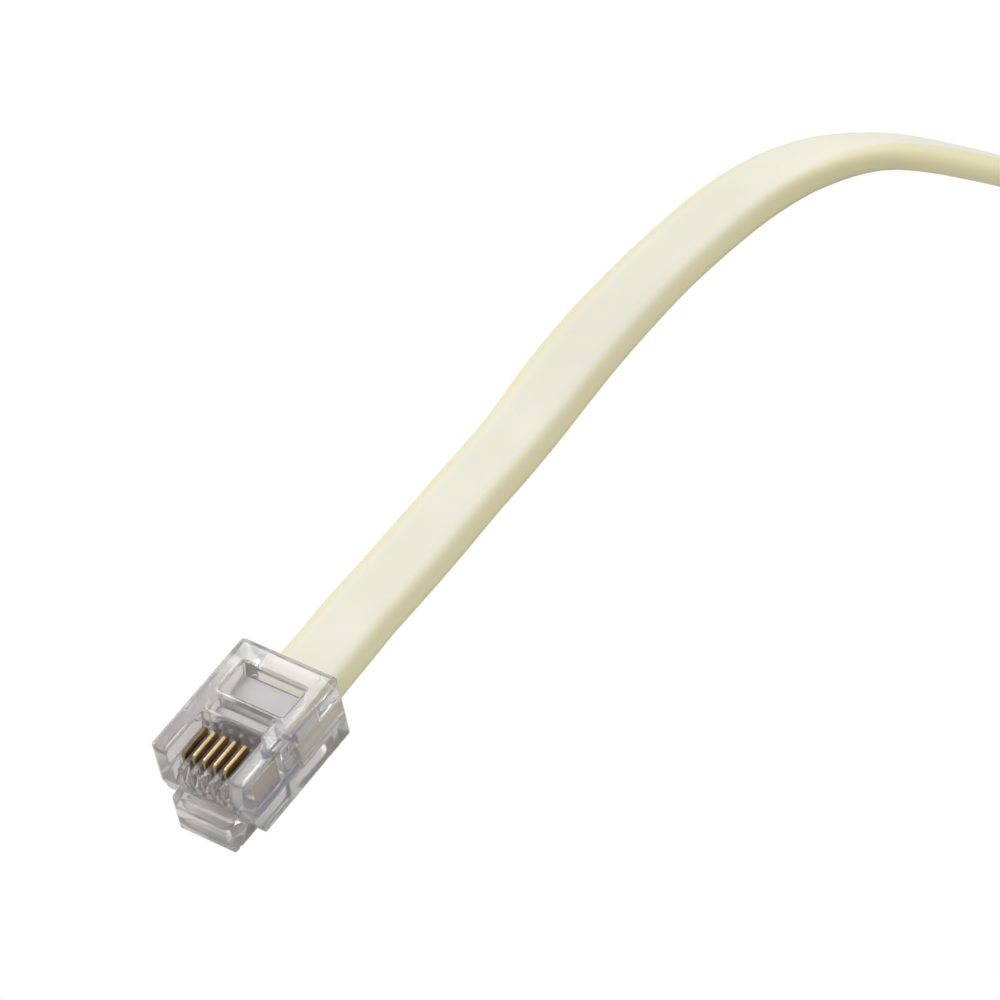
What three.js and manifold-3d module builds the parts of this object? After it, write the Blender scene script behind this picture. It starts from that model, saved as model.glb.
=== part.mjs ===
// A flat six-wire telephone line cord with a clear modular plug on each end.
// Millimetres, +Z up. The near plug points along -Y with its contacts up, and the origin is on the
// floor under the middle of it. The cord runs off along +Y, turns to +X, and is wound into a tied coil.
import * as THREE from 'three';
import { mergeVertices } from 'three/addons/utils/BufferGeometryUtils.js';
import Module from 'manifold-3d';

const wasm = await Module();
wasm.setup();

// ---- driving dimensions ----

// Plug housing, in the plug's own frame: x from the middle, y back from the front face, z up from the
// housing's underside.
const PLUG = { width: 9.65, length: 12.7, height: 6.6, round: 0.5, corner: 0.85 };
const NOSE = { width: 6.02, reach: 1.06, top: 2.0, bottom: -1.7, back: 0.2, round: 0.8, corner: 0.8 };
const CONTACTS = { count: 6, pitch: 1.016, thick: 0.32, slot: 0.5, front: 1.2, back: 4.35, top: 5.5 };
const POCKET = { width: 6.06, back: 4.5, floor: 4.95 };
const WIRE = { diameter: 0.92, core: 0.32, z: 1.8, front: 1.0, back: 6.7 };
const CAVITY = { front: 6.85, height: 3.0, width: 7.3, flare: 0.4 };
const JACKET_WINDOW = { width: 6.2, front: 7.2, back: 10.45 };
const WIRE_WINDOW = { width: 5.3, front: 5.25, back: 6.6 };
const LATCH = { front: 0.3, narrow: 3.25, shoulder: 3.3, end: 12.2, drop: 2.7 };
const FIT = 0.1;

// Cord: its flat section, its laid route, and the coil that holds the rest of its length.
const CORD = { width: 6.7, thick: 2.4, exitZ: 2.5 };
const COIL = { x: 101, y: 38.5, outer: 45, inner: 21.8, z: 0.8 };
const TIE = { thick: 0.6, wide: 5, gap: 0.2 };
const TOUCH = 0.3;

const FLOOR_TO_HOUSING = LATCH.drop;
const NEAR_FRONT = -(PLUG.length - NOSE.reach) / 2;
const EXIT_HEIGHT = FLOOR_TO_HOUSING + CORD.exitZ;
const EDGE_HEIGHT = COIL.z + CORD.width / 2;
const OUTER_LANE = COIL.outer + TOUCH + CORD.thick / 2;
const INNER_LANE = COIL.inner - TOUCH - CORD.thick / 2;
const ON_FLOOR = 0.05;
const FAR_SIDE_STEP = 7;
const FAR_BACK = 3;

// ---- materials ----

const clear = () => new THREE.MeshStandardMaterial({ color: 0xcfcdc9, roughness: 0.1, metalness: 0 });
const gold = () => new THREE.MeshStandardMaterial({ color: 0xc9a24a, roughness: 0.28, metalness: 1 });
const copper = () => new THREE.MeshStandardMaterial({ color: 0xb8703a, roughness: 0.35, metalness: 1 });
const ivory = () => new THREE.MeshStandardMaterial({ color: 0xebeadc, roughness: 0.45, metalness: 0 });
const black = () => new THREE.MeshStandardMaterial({ color: 0x1d1d1f, roughness: 0.6, metalness: 0 });
const insulation = (color) => new THREE.MeshStandardMaterial({ color, roughness: 0.4, metalness: 0 });

// The six conductors in the usual order across a telephone cord.
const WIRE_COLOURS = [
  ['white', 0xe6e6e2], ['black', 0x222224], ['red', 0xb3261e],
  ['green', 0x2e7d3a], ['yellow', 0xe0c02a], ['blue', 0x2a56a8],
];

// ---- solids ----

function solid(geometry) {
  const bare = geometry.clone();
  for (const name of Object.keys(bare.attributes)) if (name !== 'position') bare.deleteAttribute(name);
  const merged = mergeVertices(bare, 1e-5);
  return new wasm.Manifold(new wasm.Mesh({
    numProp: 3,
    vertProperties: new Float32Array(merged.attributes.position.array),
    triVerts: new Uint32Array(merged.index.array),
  }));
}

function geometryOf(manifold) {
  const { vertProperties, triVerts } = manifold.getMesh();
  const geometry = new THREE.BufferGeometry();
  geometry.setAttribute('position', new THREE.BufferAttribute(vertProperties, 3));
  geometry.setIndex(new THREE.BufferAttribute(triVerts, 1));
  geometry.computeVertexNormals();
  return geometry;
}

function outline(points) {
  return new THREE.Shape(points.map(([a, b]) => new THREE.Vector2(a, b)));
}

// An outline drawn in two axes and pushed along the third, between two stations.
function pushed(shape, from, to, basis, offset) {
  const geometry = new THREE.ExtrudeGeometry(shape, {
    depth: to - from, bevelEnabled: false, curveSegments: 6,
  });
  return solid(geometry.applyMatrix4(basis).translate(...offset));
}

const X = new THREE.Vector3(1, 0, 0);
const Y = new THREE.Vector3(0, 1, 0);
const Z = new THREE.Vector3(0, 0, 1);

// yz outline along x
function alongX(shape, from, to) {
  return pushed(shape, from, to, new THREE.Matrix4().makeBasis(Y, Z, X), [from, 0, 0]);
}

// xz outline along y
function alongY(shape, from, to) {
  const back = Y.clone().negate();
  return pushed(shape, from, to, new THREE.Matrix4().makeBasis(X, Z, back), [0, to, 0]);
}

// xy outline along z
function alongZ(shape, from, to) {
  return pushed(shape, from, to, new THREE.Matrix4(), [0, 0, from]);
}

function block(x0, x1, y0, y1, z0, z1) {
  const geometry = new THREE.BoxGeometry(x1 - x0, y1 - y0, z1 - z0);
  return solid(geometry.translate((x0 + x1) / 2, (y0 + y1) / 2, (z0 + z1) / 2));
}

function roundedRectangle(a0, a1, b0, b1, r) {
  const s = new THREE.Shape();
  s.moveTo(a0 + r, b0);
  s.lineTo(a1 - r, b0);
  s.absarc(a1 - r, b0 + r, r, -Math.PI / 2, 0);
  s.lineTo(a1, b1 - r);
  s.absarc(a1 - r, b1 - r, r, 0, Math.PI / 2);
  s.lineTo(a0 + r, b1);
  s.absarc(a0 + r, b1 - r, r, Math.PI / 2, Math.PI);
  s.lineTo(a0, b0 + r);
  s.absarc(a0 + r, b0 + r, r, Math.PI, Math.PI * 1.5);
  return s;
}

// ---- the plug, piece by piece, in its own frame ----

function contactX(i) {
  return (i - (CONTACTS.count - 1) / 2) * CONTACTS.pitch;
}

// The outer block: its underside is cut back at the front, and its long edges and its four
// upright corners are rounded.
function housingBlock() {
  const { width, length, height, round, corner } = PLUG;
  const side = alongX(outline([
    [1.2, 0], [length - 0.3, 0], [length, 0.3], [length, height - 0.5], [length - 0.15, height - 0.15],
    [length - 0.5, height], [0.4, height], [0.12, height - 0.12], [0, height - 0.4], [0, 2.85],
    [0.08, 2.55], [0.95, 0.2],
  ]), -width / 2, width / 2);
  const front = alongY(roundedRectangle(-width / 2, width / 2, 0, height, round), -1, length + 1);
  const plan = alongZ(roundedRectangle(-width / 2, width / 2, 0, length, corner), -1, height + 1);
  return side.intersect(front).intersect(plan);
}

// A front-view outline with the rounded lower corners that the nose and the latch's root share.
function lowerCorners(from, to) {
  const { width, bottom, round } = NOSE;
  return alongY(roundedRectangle(-width / 2, width / 2, bottom, 3, round), from, to);
}

// The step under the contacts: it catches in the jack, and the latch grows out of the back of it.
function nose() {
  const { width, reach, top, bottom, back, corner } = NOSE;
  const profile = alongX(outline([
    [-reach, bottom + 0.6], [-reach + 0.18, bottom + 0.18], [-reach + 0.6, bottom], [back, bottom], [back, -0.45], [0.9, 0.25],
    [1.5, 0.3], [1.5, top], [-reach + 0.35, top], [-reach + 0.1, top - 0.12], [-reach, top - 0.35],
  ]), -width / 2, width / 2);
  const plan = alongZ(roundedRectangle(-width / 2, width / 2, -reach, 4, corner), -3, 3);
  return profile.intersect(lowerCorners(-reach - 1, 2)).intersect(plan);
}

// A slot for one contact: a ramp up from the front face, then a deep slit down to the wires.
function contactSlot(i) {
  const { slot, front, back } = CONTACTS;
  const mid = contactX(i);
  const ramp = outline([
    [-0.5, 2.6], [0, 2.9], [front - FIT, 4.5], [front - FIT, WIRE.z], [back + FIT, WIRE.z],
    [back + FIT, PLUG.height + 1], [-0.5, PLUG.height + 1],
  ]);
  return alongX(ramp, mid - slot / 2, mid + slot / 2);
}

function pocket() {
  const { width, back, floor } = POCKET;
  const high = PLUG.height + 1;
  const profile = outline([[-1, floor], [back, floor], [back + 0.35, PLUG.height], [back + 0.7, high], [-1, high]]);
  return alongX(profile, -width / 2, width / 2);
}

// The opening for the cord's jacket, flared where the cord comes in.
function cordCavity() {
  const { front, height, width, flare } = CAVITY;
  const z = CORD.exitZ;
  const bore = alongY(roundedRectangle(-width / 2, width / 2, z - height / 2, z + height / 2, 1.3), front, PLUG.length + 1);
  const mouth = alongX(outline([
    [PLUG.length - 0.7, z - height / 2], [PLUG.length + 0.1, z - height / 2 - flare],
    [PLUG.length + 0.1, z + height / 2 + flare], [PLUG.length - 0.7, z + height / 2],
  ]), -width / 2 + 1, width / 2 - 1);
  return bore.add(mouth);
}

function wireCavity() {
  const half = (CONTACTS.pitch * (CONTACTS.count - 1) + WIRE.diameter) / 2 + FIT;
  const r = WIRE.diameter / 2 + FIT;
  return block(-half, half, WIRE.front - FIT, CAVITY.front + 0.5, WIRE.z - r, WIRE.z + r);
}

function window_({ width, front, back }, floor, slope) {
  const high = PLUG.height + 1;
  const profile = outline([[front, floor], [back - slope, floor], [back, PLUG.height], [back, high], [front, high]]);
  return alongX(profile, -width / 2, width / 2);
}

// A shallow round-bottomed relief in each side, beside the wire clamp.
function sideRelief(sign) {
  const s = new THREE.Shape();
  s.moveTo(4.5, 6.1);
  s.lineTo(4.5, 5.6);
  s.absarc(5.2, 5.6, 0.7, Math.PI, Math.PI * 2);
  s.lineTo(5.9, 6.1);
  s.closePath();
  const outside = PLUG.width / 2;
  const [from, to] = sign > 0 ? [outside - 0.45, outside + 1] : [-outside - 1, -outside + 0.45];
  return alongX(s, from, to);
}

// The lower front of each side is set in a little, so that the plug finds its way into the jack.
function sideLead(sign) {
  const outside = PLUG.width / 2;
  const [x0, x1] = sign > 0 ? [outside - 0.25, outside + 1] : [-outside - 1, -outside + 0.25];
  return alongX(outline([[-1, 0.9], [4.2, 0.9], [4.5, 2.5], [-1, 2.5]]), x0, x1);
}

function housing() {
  let body = housingBlock().add(nose()).subtract(pocket());
  for (let i = 0; i < CONTACTS.count; i++) body = body.subtract(contactSlot(i));
  body = body.subtract(wireCavity()).subtract(cordCavity());
  body = body.subtract(window_(JACKET_WINDOW, CORD.exitZ + 1, 0.6));
  body = body.subtract(window_(WIRE_WINDOW, WIRE.z, 0));
  for (const sign of [-1, 1]) body = body.subtract(sideRelief(sign)).subtract(sideLead(sign));
  return geometryOf(body);
}

// The latch: a wide root behind the nose, then a narrow finger tab that slopes down and back.
function latch() {
  const { front, narrow, shoulder, end, drop } = LATCH;
  const { width, bottom } = NOSE;
  const root = alongX(outline([
    [front, -0.72], [front + 0.5, -0.66], [shoulder - 0.3, -0.9], [shoulder, -1.1], [shoulder, bottom],
    [front, bottom],
  ]), -width / 2, width / 2).intersect(lowerCorners(front - 1, shoulder + 1));
  const tab = alongX(outline([
    [shoulder - 0.6, -0.85], [end - 0.2, -1.9], [end, -2.1], [end, -drop + 0.25],
    [end - 0.25, -drop], [end - 1.4, -drop], [shoulder - 0.6, -1.76],
  ]), -narrow / 2, narrow / 2);
  return geometryOf(root.add(tab));
}

// A contact blade: a rounded mating edge on top, and teeth below that bite the wire.
function contact(i) {
  const { thick, front, back, top } = CONTACTS;
  const s = new THREE.Shape();
  const bite = WIRE.z + 0.22;
  s.moveTo(front, 3.2);
  s.lineTo(front + 0.35, 2.9);
  for (const tooth of [1.95, 2.85, 3.75]) {
    s.lineTo(tooth - 0.25, 2.9);
    s.lineTo(tooth, bite);
    s.lineTo(tooth + 0.25, 2.9);
  }
  s.lineTo(back, 3.2);
  s.lineTo(back, top - 0.2);
  s.lineTo(back - 0.2, top);
  s.lineTo(front + 0.4, top);
  s.absarc(front + 0.4, top - 0.4, 0.4, Math.PI / 2, Math.PI);
  s.closePath();
  const mid = contactX(i);
  return geometryOf(alongX(s, mid - thick / 2, mid + thick / 2));
}

function rod(radius, from, to, sides, x, z) {
  const geometry = new THREE.CylinderGeometry(radius, radius, to - from, sides);
  return solid(geometry.translate(x, (from + to) / 2, z));
}

// One wire's insulation, slit on top where the contact bites through to the copper.
function wire(i) {
  const x = contactX(i);
  const sleeve = rod(WIRE.diameter / 2, WIRE.front, WIRE.back, 12, x, WIRE.z);
  const bore = rod(WIRE.core / 2 + 0.03, WIRE.front - 1, WIRE.back + 1, 8, x, WIRE.z);
  const half = CONTACTS.thick / 2 + 0.06;
  const slit = block(x - half, x + half, 1.5, 4.2, WIRE.z + 0.1, WIRE.z + 1);
  return geometryOf(sleeve.subtract(bore).subtract(slit));
}

function core(i) {
  return geometryOf(rod(WIRE.core / 2, WIRE.front + FIT, WIRE.back - FIT, 8, contactX(i), WIRE.z));
}

// The bar that is pressed down onto the jacket, wedge-shaped below and dished on top.
function jacketClamp() {
  const { width, front, back } = JACKET_WINDOW;
  const low = CORD.exitZ + CORD.thick / 2 + 0.06;
  return geometryOf(alongX(outline([
    [front + FIT, low + 0.5], [front + 0.6, low], [back - 1.5, low], [back - 0.75, low + 0.35],
    [back - 0.45, 5.6], [front + 0.5, 5.25], [front + FIT, 5.05],
  ]), -width / 2 + FIT, width / 2 - FIT));
}

// The narrower bar that is pressed down onto the six wires.
function wireClamp() {
  const { width, front, back } = WIRE_WINDOW;
  const low = WIRE.z + WIRE.diameter / 2 + 0.05;
  return geometryOf(alongX(outline([
    [front + FIT, low + 0.25], [front + 0.3, low], [back - 0.3, low], [back - FIT, low + 0.25],
    [back - FIT, 5.7], [back - 0.35, 5.9], [front + 0.35, 5.9], [front + FIT, 5.7],
  ]), -width / 2 + FIT, width / 2 - FIT));
}

function add(group, name, geometry, material) {
  const mesh = new THREE.Mesh(geometry, material);
  mesh.name = name;
  group.add(mesh);
}

function plug(prefix) {
  const g = new THREE.Group();
  add(g, `${prefix}_plug_housing`, housing(), clear());
  add(g, `${prefix}_latch_tab`, latch(), clear());
  add(g, `${prefix}_jacket_clamp`, jacketClamp(), clear());
  add(g, `${prefix}_wire_clamp`, wireClamp(), clear());
  WIRE_COLOURS.forEach(([colour, hex], i) => {
    add(g, `${prefix}_contact_${i + 1}`, contact(i), gold());
    add(g, `${prefix}_wire_${colour}`, wire(i), insulation(hex));
    add(g, `${prefix}_core_${colour}`, core(i), copper());
  });
  return g;
}

// ---- the cord ----

// A flat cord's line of travel, with its bank in degrees at each point: 0 is face up, and 90 stands
// it on edge with the edge on the right-hand side of travel uppermost.
class RibbonPath extends THREE.CatmullRomCurve3 {
  constructor(stations) {
    super(stations.map(([x, y, z]) => new THREE.Vector3(x, y, z)));
    this.banks = stations.map((s) => s[3]);
  }

  bankAt(u) {
    const place = this.getUtoTmapping(u) * (this.banks.length - 1);
    const before = Math.min(Math.floor(place), this.banks.length - 2);
    return THREE.MathUtils.lerp(this.banks[before], this.banks[before + 1], place - before);
  }

  // normals lie across the width and binormals through the thickness
  computeFrenetFrames(steps) {
    const frames = { tangents: [], normals: [], binormals: [] };
    for (let i = 0; i <= steps; i++) {
      const tangent = this.getTangentAt(i / steps);
      const left = new THREE.Vector3().crossVectors(Z, tangent).normalize();
      left.applyAxisAngle(tangent, -THREE.MathUtils.degToRad(this.bankAt(i / steps)));
      frames.tangents.push(tangent);
      frames.normals.push(left);
      frames.binormals.push(new THREE.Vector3().crossVectors(tangent, left));
    }
    return frames;
  }
}

// Flat on top and below, round at both edges.
function cordSection() {
  const r = CORD.thick / 2;
  const flat = CORD.width / 2 - r;
  const s = new THREE.Shape();
  s.moveTo(-flat, -r);
  s.lineTo(flat, -r);
  s.absarc(flat, 0, r, -Math.PI / 2, Math.PI / 2);
  s.lineTo(-flat, r);
  s.absarc(-flat, 0, r, Math.PI / 2, Math.PI * 1.5);
  return s;
}

function ribbon(stations, steps) {
  const path = new RibbonPath(stations);
  const geometry = new THREE.ExtrudeGeometry(cordSection(), { steps, curveSegments: 4, extrudePath: path });
  return geometryOf(solid(geometry));
}

// Height of the middle of a banked cord whose lower edge lies on the floor.
function banked(degrees) {
  const r = CORD.thick / 2;
  return r + ON_FLOOR + (CORD.width / 2 - r) * Math.sin(THREE.MathUtils.degToRad(Math.abs(degrees)));
}

const COIL_TOP = COIL.y - NEAR_FRONT + OUTER_LANE;

// From under the clamp in the near plug, down to the floor, along it, and round to the coil.
// Each place is x, then distance behind the plug's front face.
const RUN = [
  [0, 7.0, EXIT_HEIGHT, 0], [0, 9.9, EXIT_HEIGHT, 0], [0, 12.7, EXIT_HEIGHT, 0],
  [-0.1, 15.0, 5.15, 0], [-0.4, 18.0, 4.7, 0], [-1.0, 21.8, 3.85, 0], [-1.6, 26.0, 2.75, 0],
  [-2.1, 30.4, 1.85, 0], [-2.35, 34.9, 1.4, 1], [-2.4, 38.9, banked(2), 2], [-2.3, 43.0, banked(2), 2],
  [-2.35, 47.1, banked(2), 1], [-2.55, 51.2, banked(4), -3], [-2.7, 55.2, banked(5), -5],
  [-2.7, 59.2, banked(5), -5], [-2.55, 63.3, banked(4), -3], [-2.3, 67.4, banked(2), -1],
  [-1.85, 71.2, banked(1), 0], [-1.2, 75.1, banked(1), 0], [-0.2, 78.7, banked(4), 3],
  [1.3, 81.9, banked(9), 8], [3.3, 84.4, banked(16), 15], [5.9, 86.4, banked(25), 25],
  [9.0, 87.9, banked(34), 34], [12.4, 88.7, banked(40), 40], [16.2, 89.3, banked(43), 43],
  [21.0, 89.8, banked(46), 46], [32.0, 90.4, banked(54), 54], [46.0, 90.85, banked(62), 62],
  [60.0, 91.0, banked(70), 70], [74.0, 90.95, banked(78), 78], [88.0, 90.87, EDGE_HEIGHT - 0.3, 85],
  [COIL.x, COIL_TOP, EDGE_HEIGHT, 90],
].map(([x, y, z, bank]) => [x, y + NEAR_FRONT, z, bank]);

// From the innermost turn, round inside the coil, and into the far plug.
function tail() {
  const radius = (INNER_LANE + FAR_SIDE_STEP) / 2;
  const midY = COIL.y + FAR_SIDE_STEP - radius;
  const turn = 10;
  const stations = [];
  for (let i = 0; i <= turn; i++) {
    const angle = -Math.PI / 2 - (Math.PI * i) / turn;
    const share = THREE.MathUtils.smoothstep(i / turn, 0, 1);
    const z = THREE.MathUtils.lerp(EDGE_HEIGHT, EXIT_HEIGHT, share);
    stations.push([COIL.x + radius * Math.cos(angle), midY + radius * Math.sin(angle), z, 90 * (1 - share)]);
  }
  for (const on of [FAR_BACK, FAR_BACK + 2.9, FAR_BACK + PLUG.length - 7]) {
    stations.push([COIL.x + on, COIL.y + FAR_SIDE_STEP, EXIT_HEIGHT, 0]);
  }
  return stations;
}

// The coil's turns stand on edge, one inside the next, and fill this ring.
function coilRing() {
  const { outer, inner, z } = COIL;
  const high = z + CORD.width;
  const edge = 0.6;
  const profile = [
    [inner + edge, z], [outer - edge, z], [outer, z + edge], [outer, high - edge], [outer - edge, high],
    [inner + edge, high], [inner, high - edge], [inner, z + edge], [inner + edge, z],
  ].map(([r, h]) => new THREE.Vector2(r, h));
  return geometryOf(solid(new THREE.LatheGeometry(profile, 64).rotateX(Math.PI / 2).translate(COIL.x, COIL.y, 0)));
}

// A flat band round the coil's turns. The coil rests on the bands.
function tie(sign) {
  const { thick, wide, gap } = TIE;
  const { outer, inner, z } = COIL;
  const r0 = inner - gap;
  const r1 = outer + gap;
  const high = z + CORD.width + gap;
  const outside = roundedRectangle(r0 - thick, r1 + thick, 0, high + thick, 1.2);
  const band = alongY(outside, -wide / 2, wide / 2).subtract(block(r0, r1, -wide, wide, thick, high));
  return geometryOf(band.rotate([0, 0, sign > 0 ? 0 : 180]).translate([COIL.x, COIL.y, 0]));
}

// ---- the whole cord ----

const near = plug('near');
near.position.set(0, NEAR_FRONT, FLOOR_TO_HOUSING);

const far = plug('far');
far.position.set(COIL.x + FAR_BACK + PLUG.length, COIL.y + FAR_SIDE_STEP, FLOOR_TO_HOUSING);
far.rotation.z = Math.PI / 2;

const group = new THREE.Group();
group.add(near, far);
add(group, 'cord_run', ribbon(RUN, 52), ivory());
add(group, 'cord_coil', coilRing(), ivory());
add(group, 'cord_tail', ribbon(tail(), 16), ivory());
add(group, 'tie_east', tie(1), black());
add(group, 'tie_west', tie(-1), black());

export default group;
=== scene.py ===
"""A flat ivory telephone line cord with a clear modular plug on each end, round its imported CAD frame."""

import math

import bmesh
import bpy
import numpy as np
from mathutils import Matrix, Vector


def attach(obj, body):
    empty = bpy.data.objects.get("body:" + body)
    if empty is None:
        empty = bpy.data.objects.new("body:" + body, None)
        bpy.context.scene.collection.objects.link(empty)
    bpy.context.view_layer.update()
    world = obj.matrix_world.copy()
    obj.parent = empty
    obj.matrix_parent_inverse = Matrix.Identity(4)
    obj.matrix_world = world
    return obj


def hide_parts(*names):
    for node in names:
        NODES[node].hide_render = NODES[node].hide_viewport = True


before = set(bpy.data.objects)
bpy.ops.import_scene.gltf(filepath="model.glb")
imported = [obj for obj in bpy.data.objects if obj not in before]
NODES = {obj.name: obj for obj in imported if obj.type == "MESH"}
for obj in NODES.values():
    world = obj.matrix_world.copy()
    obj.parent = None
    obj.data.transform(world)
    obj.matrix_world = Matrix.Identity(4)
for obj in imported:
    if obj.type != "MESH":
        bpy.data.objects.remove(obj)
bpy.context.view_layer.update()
MM = 0.001
ENDS = ("near", "far")
CONTACTS = 6

# ---- the view: a long lens from the front right, well above the plug ----

CAMERA_AT = (195.75, -177.82, 306.99)
CAMERA_AZIMUTH, CAMERA_ELEVATION, CAMERA_ROLL = 42.73, 46.72, -11.63
CAMERA_LENS = 184.2


def make_camera():
    azimuth, elevation, roll = (
        math.radians(a) for a in (CAMERA_AZIMUTH, CAMERA_ELEVATION, CAMERA_ROLL)
    )
    back = Vector((
        math.sin(azimuth) * math.cos(elevation),
        -math.cos(azimuth) * math.cos(elevation),
        math.sin(elevation),
    ))
    right = (-back).cross(Vector((0, 0, 1))).normalized()
    up = back.cross(right)
    turn = Matrix.Rotation(roll, 3, back)
    data = bpy.data.cameras.new("camera")
    data.lens = CAMERA_LENS
    data.clip_start = 0.01
    data.clip_end = 20
    camera = bpy.data.objects.new("camera", data)
    camera.matrix_world = Matrix.Translation(Vector(CAMERA_AT) * MM) @ Matrix(
        (turn @ right, turn @ up, back)
    ).transposed().to_4x4()
    bpy.context.scene.collection.objects.link(camera)
    bpy.context.scene.camera = camera


# ---- the cord's route, in millimetres, the same as in the CAD source ----

CORD_WIDTH, CORD_THICK = 6.7, 2.4
PLUG_LENGTH = 12.7
NEAR_FRONT = -5.82  # y of the near plug's front face
EXIT_HEIGHT = 5.2
EDGE_HEIGHT = 4.15  # middle of a cord that stands on its edge
ON_FLOOR = 0.05
TOUCH = 0.3  # gap beside the coil for the turns that join and leave it
COIL_X, COIL_Y = 101, 38.5
COIL_OUTER, COIL_INNER = 45, 21.8
COIL_TURNS = 8.5
COIL_STATIONS = 40  # for each turn
LANE_CHANGE = 0.25  # of a turn, at each end of the coil
FAR_SIDE_STEP, FAR_BACK = 7, 3  # the far plug's rear, beside and past the coil's middle
TAIL_STATIONS = 10
JACKET_END = 7  # behind a plug's front face
IN_PLUG = 2.9  # a station just inside the far plug's rear
SPACING = 1.5  # between the rows of the finished skin
CURVE_SAMPLES = 12  # between two stations, before the rows are spaced evenly
ARC_POINTS = 9  # on each round edge of the cord
OUTER_LANE = COIL_OUTER + TOUCH + CORD_THICK / 2
INNER_LANE = COIL_INNER - TOUCH - CORD_THICK / 2


def banked(degrees):
    """Height of the middle of a banked cord whose lower edge touches the floor."""
    half = CORD_THICK / 2
    return half + ON_FLOOR + (CORD_WIDTH / 2 - half) * math.sin(math.radians(abs(degrees)))


COIL_TOP = COIL_Y - NEAR_FRONT + OUTER_LANE
# x, distance behind the near plug's front face, height, bank in degrees
RUN = [
    (0, 7.0, EXIT_HEIGHT, 0), (0, 9.9, EXIT_HEIGHT, 0), (0, 12.7, EXIT_HEIGHT, 0),
    (-0.1, 15.0, 5.15, 0), (-0.4, 18.0, 4.7, 0), (-1.0, 21.8, 3.85, 0), (-1.6, 26.0, 2.75, 0),
    (-2.1, 30.4, 1.85, 0), (-2.35, 34.9, 1.4, 1), (-2.4, 38.9, banked(2), 2),
    (-2.3, 43.0, banked(2), 2), (-2.35, 47.1, banked(2), 1), (-2.55, 51.2, banked(4), -3),
    (-2.7, 55.2, banked(5), -5),
    (-2.7, 59.2, banked(5), -5), (-2.55, 63.3, banked(4), -3), (-2.3, 67.4, banked(2), -1),
    (-1.85, 71.2, banked(1), 0), (-1.2, 75.1, banked(1), 0), (-0.2, 78.7, banked(4), 3),
    (1.3, 81.9, banked(9), 8), (3.3, 84.4, banked(16), 15), (5.9, 86.4, banked(25), 25),
    (9.0, 87.9, banked(34), 34), (12.4, 88.7, banked(40), 40), (16.2, 89.3, banked(43), 43),
    (21.0, 89.8, banked(46), 46), (32.0, 90.4, banked(54), 54), (46.0, 90.85, banked(62), 62),
    (60.0, 91.0, banked(70), 70), (74.0, 90.95, banked(78), 78), (88.0, 90.87, EDGE_HEIGHT - 0.3, 85),
    (COIL_X, COIL_TOP, EDGE_HEIGHT, 90),
]


def smoothstep(t):
    t = min(max(t, 0.0), 1.0)
    return t * t * (3 - 2 * t)


def run_stations():
    return [(x, y + NEAR_FRONT, z, bank) for x, y, z, bank in RUN]


def coil_stations():
    """The turns, clockwise from the top of the ring, each one inside the last."""
    stations = []
    steps = int(COIL_TURNS * COIL_STATIONS)
    first, last = COIL_OUTER - CORD_THICK / 2, COIL_INNER + CORD_THICK / 2
    for i in range(1, steps):
        turned = COIL_TURNS * i / steps
        spiral = first + (last - first) * (turned - LANE_CHANGE) / (COIL_TURNS - 2 * LANE_CHANGE)
        radius = min(max(spiral, last), first)
        left = COIL_TURNS - turned
        if turned < LANE_CHANGE:
            radius = OUTER_LANE + (first - OUTER_LANE) * smoothstep(turned / LANE_CHANGE)
        elif left < LANE_CHANGE:
            radius = INNER_LANE + (last - INNER_LANE) * smoothstep(left / LANE_CHANGE)
        angle = math.pi / 2 - 2 * math.pi * turned
        stations.append((
            COIL_X + radius * math.cos(angle), COIL_Y + radius * math.sin(angle), EDGE_HEIGHT, 90,
        ))
    return stations


def tail_stations():
    """From the innermost turn, round inside the coil, and into the far plug."""
    radius = (INNER_LANE + FAR_SIDE_STEP) / 2
    mid_y = COIL_Y + FAR_SIDE_STEP - radius
    stations = []
    for i in range(TAIL_STATIONS + 1):
        angle = -math.pi / 2 - math.pi * i / TAIL_STATIONS
        share = smoothstep(i / TAIL_STATIONS)
        z = EDGE_HEIGHT + (EXIT_HEIGHT - EDGE_HEIGHT) * share
        stations.append((
            COIL_X + radius * math.cos(angle), mid_y + radius * math.sin(angle), z, 90 * (1 - share),
        ))
    for on in (FAR_BACK, FAR_BACK + IN_PLUG, FAR_BACK + PLUG_LENGTH - JACKET_END):
        stations.append((COIL_X + on, COIL_Y + FAR_SIDE_STEP, EXIT_HEIGHT, 0))
    return stations


def through(stations):
    """A centripetal Catmull-Rom curve through the stations.

    Gives evenly spaced rows of x, y, z, bank, and how far along the cord each one is.
    """
    p = np.array(stations, float)
    p = np.vstack([2 * p[0] - p[1], p, 2 * p[-1] - p[-2]])
    rows = []
    for i in range(1, len(p) - 2):
        gaps = [np.linalg.norm(p[i + k + 1, :3] - p[i + k, :3]) ** 0.5 for k in (-1, 0, 1)]
        t0, t1 = 0.0, gaps[0]
        t2 = t1 + gaps[1]
        t3 = t2 + gaps[2]
        for t in np.linspace(t1, t2, CURVE_SAMPLES, endpoint=False):
            a = [((e - t) * p[k] + (t - s) * p[k + 1]) / (e - s)
                 for s, e, k in ((t0, t1, i - 1), (t1, t2, i), (t2, t3, i + 1))]
            b0 = ((t2 - t) * a[0] + (t - t0) * a[1]) / (t2 - t0)
            b1 = ((t3 - t) * a[1] + (t - t1) * a[2]) / (t3 - t1)
            rows.append(((t2 - t) * b0 + (t - t1) * b1) / (t2 - t1))
    rows.append(p[-2])
    rows = np.array(rows)
    steps = np.linalg.norm(np.diff(rows[:, :3], axis=0), axis=1)
    along = np.concatenate([[0], np.cumsum(steps)])
    count = int(along[-1] / SPACING) + 1
    even = np.linspace(0, along[-1], count)
    return np.stack([np.interp(even, along, rows[:, k]) for k in range(4)], axis=1), even


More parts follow.
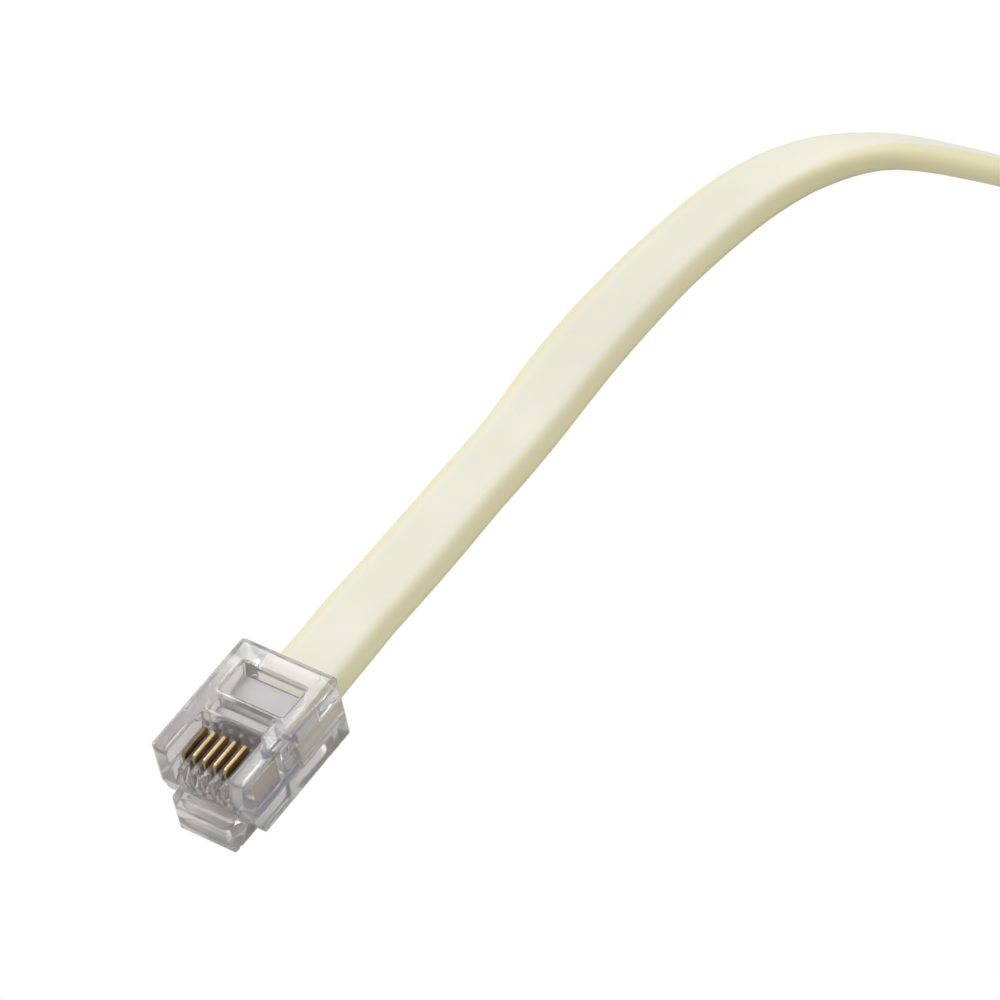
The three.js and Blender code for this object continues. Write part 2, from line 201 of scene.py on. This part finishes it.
def cord_section():
    """Outline of the cord, across and up: two flat faces between round edges."""
    half = CORD_THICK / 2
    flat = CORD_WIDTH / 2 - half
    points = []
    for side in (1, -1):
        for i in range(ARC_POINTS):
            angle = math.pi * (i / (ARC_POINTS - 1) - 0.5)
            points.append((side * (flat + half * math.cos(angle)), side * half * math.sin(angle)))
        for share in (0.66, 0.33, 0, -0.33, -0.66):
            points.append((side * share * flat, side * half))
    return points


def sweep(name, rows, along, section, mat):
    """A closed skin of the section carried along the rows, banked as each row says."""
    xyz = rows[:, :3]
    tangent = np.gradient(xyz, axis=0)
    tangent /= np.linalg.norm(tangent, axis=1)[:, None]
    left = np.cross([0, 0, 1], tangent)
    left /= np.linalg.norm(left, axis=1)[:, None]
    face = np.cross(tangent, left)
    bank = np.radians(rows[:, 3])[:, None]
    # a positive bank lifts the edge on the right-hand side of travel
    across = left * np.cos(bank) - face * np.sin(bank)
    up = face * np.cos(bank) + left * np.sin(bank)
    count, sides = len(rows), len(section)
    s = np.array(section)
    verts = (
        xyz[:, None, :] - across[:, None, :] * s[None, :, :1] + up[:, None, :] * s[None, :, 1:]
    ).reshape(-1, 3) * MM
    faces = []
    for i in range(count - 1):
        for j in range(sides):
            k = (j + 1) % sides
            faces.append((i * sides + j, i * sides + k, (i + 1) * sides + k, (i + 1) * sides + j))
    faces.append(tuple(range(sides))[::-1])
    faces.append(tuple((count - 1) * sides + j for j in range(sides)))
    mesh = bpy.data.meshes.new(name)
    mesh.from_pydata(verts.tolist(), [], faces)
    mesh.validate()
    uv = mesh.uv_layers.new(name="cord")
    for poly in mesh.polygons:
        poly.use_smooth = True
        for loop in poly.loop_indices:
            v = mesh.loops[loop].vertex_index
            uv.data[loop].uv = (s[v % sides][0] / CORD_WIDTH + 0.5, along[v // sides] * MM)
    obj = bpy.data.objects.new(name, mesh)
    bpy.context.scene.collection.objects.link(obj)
    face_outwards(obj)
    mesh.materials.append(mat)
    return obj


def face_outwards(obj):
    bm = bmesh.new()
    bm.from_mesh(obj.data)
    bmesh.ops.recalc_face_normals(bm, faces=bm.faces)
    bm.to_mesh(obj.data)
    bm.free()


# ---- materials ----

POLYCARBONATE_IOR = 1.585


def material(name, **sockets):
    m = bpy.data.materials.new(name)
    m.use_nodes = True
    shader = m.node_tree.nodes["Principled BSDF"]
    for key, value in sockets.items():
        shader.inputs[key.replace("_", " ")].default_value = value
    return m, m.node_tree, shader


def node(tree, kind, inputs=None, **settings):
    n = tree.nodes.new(kind)
    for key, value in settings.items():
        setattr(n, key, value)
    for key, value in (inputs or {}).items():
        n.inputs[key].default_value = value
    return n


def noise(tree, source, scale, detail=3.0, stretch=(1, 1, 1)):
    """Noise over a coordinate, stretched."""
    mapping = node(tree, "ShaderNodeMapping")
    mapping.inputs["Scale"].default_value = stretch
    tree.links.new(source, mapping.inputs["Vector"])
    n = node(tree, "ShaderNodeTexNoise", {"Scale": scale, "Detail": detail, "Roughness": 0.55})
    tree.links.new(mapping.outputs["Vector"], n.inputs["Vector"])
    return n.outputs["Fac"]


def ramp(tree, source, stops):
    r = tree.nodes.new("ShaderNodeValToRGB")
    while len(r.color_ramp.elements) < len(stops):
        r.color_ramp.elements.new(0.5)
    for element, (place, colour) in zip(r.color_ramp.elements, stops):
        element.position = place
        element.color = (*colour, 1)
    tree.links.new(source, r.inputs["Fac"])
    return r.outputs["Color"]


def spread_value(tree, source, low, high):
    r = node(tree, "ShaderNodeMapRange", {"To Min": low, "To Max": high})
    tree.links.new(source, r.inputs["Value"])
    return r.outputs["Result"]


def bump(tree, shader, source, strength, depth):
    """A surface grain, its depth in millimetres."""
    b = node(tree, "ShaderNodeBump", {"Strength": strength, "Distance": depth * MM})
    tree.links.new(source, b.inputs["Height"])
    tree.links.new(b.outputs["Normal"], shader.inputs["Normal"])


def cloud(tree, shader, scale, colours, roughness):
    """Soft patches in which colour and roughness vary. Gives the coordinate that they lie on."""
    where = node(tree, "ShaderNodeTexCoord").outputs["Object"]
    patches = noise(tree, where, scale)
    dark, light = colours
    colour = ramp(tree, patches, [(0.3, dark), (0.7, light)])
    tree.links.new(colour, shader.inputs["Base Color"])
    tree.links.new(spread_value(tree, patches, *roughness), shader.inputs["Roughness"])
    return where


def clear_plastic(name, clearness, roughness, grain, colours):
    """Moulded polycarbonate with a little haze and a fine skin."""
    m, tree, shader = material(name, Transmission_Weight=clearness, IOR=POLYCARBONATE_IOR)
    where = cloud(tree, shader, 350, colours, (roughness * 0.7, roughness * 1.4))
    bump(tree, shader, noise(tree, where, 900, 2), grain, 0.04)
    return m


def ivory_jacket():
    """Soft ivory vinyl, its round edges painted darker and yellower as shade, with faint streaks along the
    cord.
    """
    m, tree, shader = material(
        "ivory_pvc", Subsurface_Weight=0.25, Subsurface_Scale=0.0012,
        Subsurface_Radius=(1.0, 0.85, 0.45), Specular_IOR_Level=0.45,
    )
    uv = node(tree, "ShaderNodeUVMap", uv_map="cord").outputs["UV"]
    where = node(tree, "ShaderNodeTexCoord").outputs["Object"]
    patches = noise(tree, where, 60, 4)
    face = ramp(tree, patches, [(0.25, (0.800, 0.785, 0.655)), (0.75, (0.845, 0.832, 0.710))])
    split = node(tree, "ShaderNodeSeparateXYZ")
    tree.links.new(uv, split.inputs["Vector"])
    # painted shade: both round edges of the section are painted darker and more olive than the flat faces
    painted_edge_shade = ramp(tree, split.outputs["X"], [
        (0.0, (1, 1, 1)), (0.10, (0.8, 0.8, 0.8)), (0.20, (0, 0, 0)),
        (0.80, (0, 0, 0)), (0.90, (0.8, 0.8, 0.8)), (1.0, (1, 1, 1)),
    ])
    face_with_edge_shade = node(tree, "ShaderNodeMix", data_type="RGBA")
    tree.links.new(painted_edge_shade, face_with_edge_shade.inputs["Factor"])
    tree.links.new(face, face_with_edge_shade.inputs[6])
    # the darker olive colour of the painted edge shade
    face_with_edge_shade.inputs[7].default_value = (0.76, 0.72, 0.46, 1)
    tree.links.new(face_with_edge_shade.outputs[2], shader.inputs["Base Color"])
    streak = noise(tree, uv, 40, 3, (14, 6, 1))
    tree.links.new(spread_value(tree, streak, 0.36, 0.5), shader.inputs["Roughness"])
    bump(tree, shader, streak, 0.15, 0.03)
    return m


def gold_plate():
    m, tree, shader = material("gold_plate", Metallic=1.0)
    where = cloud(tree, shader, 1500, ((0.44, 0.30, 0.155), (0.58, 0.42, 0.23)), (0.28, 0.46))
    bump(tree, shader, noise(tree, where, 4000, 2, (1, 0.2, 1)), 0.2, 0.01)
    return m


def copper_strand():
    m, tree, shader = material("copper_strand", Metallic=1.0)
    cloud(tree, shader, 3000, ((0.55, 0.25, 0.12), (0.80, 0.42, 0.24)), (0.25, 0.45))
    return m


def wire_plastic(name, colour):
    m, tree, shader = material(f"insulation_{name}")
    dark = tuple(c * 0.82 for c in colour)
    cloud(tree, shader, 900, (dark, colour), (0.28, 0.42))
    return m


def tie_plastic():
    m, tree, shader = material("tie_band")
    where = cloud(tree, shader, 500, ((0.012, 0.012, 0.013), (0.03, 0.03, 0.032)), (0.45, 0.7))
    bump(tree, shader, noise(tree, where, 3500, 2), 0.4, 0.05)
    return m


CLEAR = clear_plastic(
    "clear_polycarbonate", clearness=0.84, roughness=0.07, grain=0.12,
    colours=((0.955, 0.945, 0.94), (0.985, 0.98, 0.975)),
)
CRIMPED = clear_plastic(
    "crimped_polycarbonate", clearness=0.5, roughness=0.2, grain=0.3,
    colours=((0.93, 0.925, 0.925), (0.98, 0.975, 0.98)),
)
IVORY, GOLD, COPPER, TIE = ivory_jacket(), gold_plate(), copper_strand(), tie_plastic()
WIRE_COLOURS = {
    "white": (0.72, 0.72, 0.68), "black": (0.02, 0.02, 0.022), "red": (0.50, 0.03, 0.02),
    "green": (0.03, 0.25, 0.07), "yellow": (0.72, 0.52, 0.04), "blue": (0.03, 0.10, 0.42),
}
WIRE_MATERIALS = {name: wire_plastic(name, colour) for name, colour in WIRE_COLOURS.items()}

# ---- the plugs: CAD nodes with moulded edges and real materials ----


def paint(name, mat):
    obj = NODES[name]
    obj.data.materials.clear()
    obj.data.materials.append(mat)
    return obj


def share_corners(obj):
    """The frame's triangles each have corners of their own, and the next modifiers need them joined."""
    weld = obj.modifiers.new("shared_corners", "WELD")
    weld.merge_threshold = 0.001 * MM


def soften(obj, width, segments=3, angle=25):
    """Flat faces are joined, and sharp edges get the small radius that a press or a die leaves."""
    share_corners(obj)
    flat = obj.modifiers.new("flat_faces", "DECIMATE")
    flat.decimate_type = "DISSOLVE"
    flat.angle_limit = math.radians(0.5)
    bevel = obj.modifiers.new("moulded_edges", "BEVEL")
    bevel.width = width * MM
    bevel.segments = segments
    bevel.limit_method = "ANGLE"
    bevel.angle_limit = math.radians(angle)
    bevel.use_clamp_overlap = True
    bevel.harden_normals = True
    for poly in obj.data.polygons:
        poly.use_smooth = True


def mould(obj, voxel, passes, keep=1.0):
    """Every edge is rounded, inside and out, as on an injection moulding.

    Flat faces need fewer triangles than the edges, so only a share of them is kept.
    """
    share_corners(obj)
    skin = obj.modifiers.new("skin", "REMESH")
    skin.mode = "VOXEL"
    skin.voxel_size = voxel * MM
    skin.use_smooth_shade = True
    relax = obj.modifiers.new("rounded_edges", "SMOOTH")
    relax.factor = 0.5
    relax.iterations = passes
    if keep < 1:
        lighter = obj.modifiers.new("lighter_flats", "DECIMATE")
        lighter.ratio = keep


def finish_plug(end):
    mould(paint(f"{end}_plug_housing", CLEAR), voxel=0.07, passes=7, keep=0.48)
    mould(paint(f"{end}_latch_tab", CLEAR), voxel=0.08, passes=8)
    for clamp in ("jacket", "wire"):
        mould(paint(f"{end}_{clamp}_clamp", CRIMPED), voxel=0.06, passes=6)
    for i in range(CONTACTS):
        soften(paint(f"{end}_contact_{i + 1}", GOLD), width=0.04)
    for name, mat in WIRE_MATERIALS.items():
        soften(paint(f"{end}_wire_{name}", mat), width=0.03, segments=2, angle=40)
        soften(paint(f"{end}_core_{name}", COPPER), width=0.03, segments=2, angle=50)


# ---- the cord and its ties ----


def make_cord():
    stations = run_stations() + coil_stations() + tail_stations()
    rows, along = through(stations)
    cord = sweep("cord", rows, along, cord_section(), IVORY)
    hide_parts("cord_run", "cord_coil", "cord_tail")
    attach(cord, "root")


# ---- floor and light ----

FLOOR_HALF = 1.5
BELOW = 0.02  # the floor lies just under the cord, so that they don't share a plane
PURE_WHITE = (1, 1, 1, 1)
# name, place, aim, size in metres, watts
LIGHTS = (
    ("key", (-0.68, 0.08, 0.6), (0.02, 0.04, 0), 0.45, 4.45),
    ("fill", (0.62, 0.3, 0.42), (0, 0.03, 0), 0.4, 0.95),
    ("glint", (-0.43, 0.47, 0.66), (0, 0.002, 0.009), 0.11, 0.22),
)


def white_to_camera(tree, lit, shown, end):
    """Plain white where it is seen directly, while light and reflections meet its real shade."""
    mix = node(tree, "ShaderNodeMixShader")
    path = node(tree, "ShaderNodeLightPath")
    tree.links.new(path.outputs["Is Camera Ray"], mix.inputs["Fac"])
    tree.links.new(lit, mix.inputs[1])
    tree.links.new(shown, mix.inputs[2])
    tree.links.new(mix.outputs["Shader"], tree.nodes[end].inputs["Surface"])


def make_floor():
    mesh = bpy.data.meshes.new("floor")
    corners = [(x * FLOOR_HALF, y * FLOOR_HALF, 0) for x, y in ((-1, -1), (1, -1), (1, 1), (-1, 1))]
    mesh.from_pydata(corners, [], [(0, 1, 2, 3)])
    floor = bpy.data.objects.new("floor", mesh)
    floor.location.z = -BELOW * MM
    bpy.context.scene.collection.objects.link(floor)
    m, tree, shader = material("studio_floor", Base_Color=(0.79, 0.78, 0.77, 1), Roughness=0.9)
    shown = node(tree, "ShaderNodeEmission", {"Color": PURE_WHITE, "Strength": 1.0})
    white_to_camera(tree, shader.outputs["BSDF"], shown.outputs["Emission"], "Material Output")
    mesh.materials.append(m)


def area_light(name, at, towards, size, power):
    data = bpy.data.lights.new(name, "AREA")
    data.shape = "SQUARE"
    data.size = size
    data.energy = power
    light = bpy.data.objects.new(name, data)
    light.location = at
    light.rotation_euler = (Vector(towards) - Vector(at)).to_track_quat("-Z", "Y").to_euler()
    bpy.context.scene.collection.objects.link(light)


def make_light():
    world = bpy.data.worlds.new("studio")
    bpy.context.scene.world = world
    world.use_nodes = True
    tree = world.node_tree
    lit = tree.nodes["Background"]
    where = node(tree, "ShaderNodeTexCoord").outputs["Generated"]
    height = node(tree, "ShaderNodeSeparateXYZ")
    tree.links.new(where, height.inputs["Vector"])
    sky = ramp(tree, height.outputs["Z"], [
        (0.0, (0.66, 0.65, 0.64)), (0.35, (0.72, 0.71, 0.70)),
        (0.7, (0.72, 0.715, 0.71)), (1.0, (0.74, 0.74, 0.74)),
    ])
    tree.links.new(sky, lit.inputs["Color"])
    lit.inputs["Strength"].default_value = 0.8
    shown = node(tree, "ShaderNodeBackground", {"Color": PURE_WHITE, "Strength": 1.0})
    white_to_camera(tree, lit.outputs["Background"], shown.outputs["Background"], "World Output")
    for light in LIGHTS:
        area_light(*light)
    bpy.context.scene.view_settings.view_transform = "Standard"


make_camera()
make_cord()
for end in ENDS:
    finish_plug(end)
for side in ("east", "west"):
    soften(paint(f"tie_{side}", TIE), width=0.15)
make_floor()
make_light()
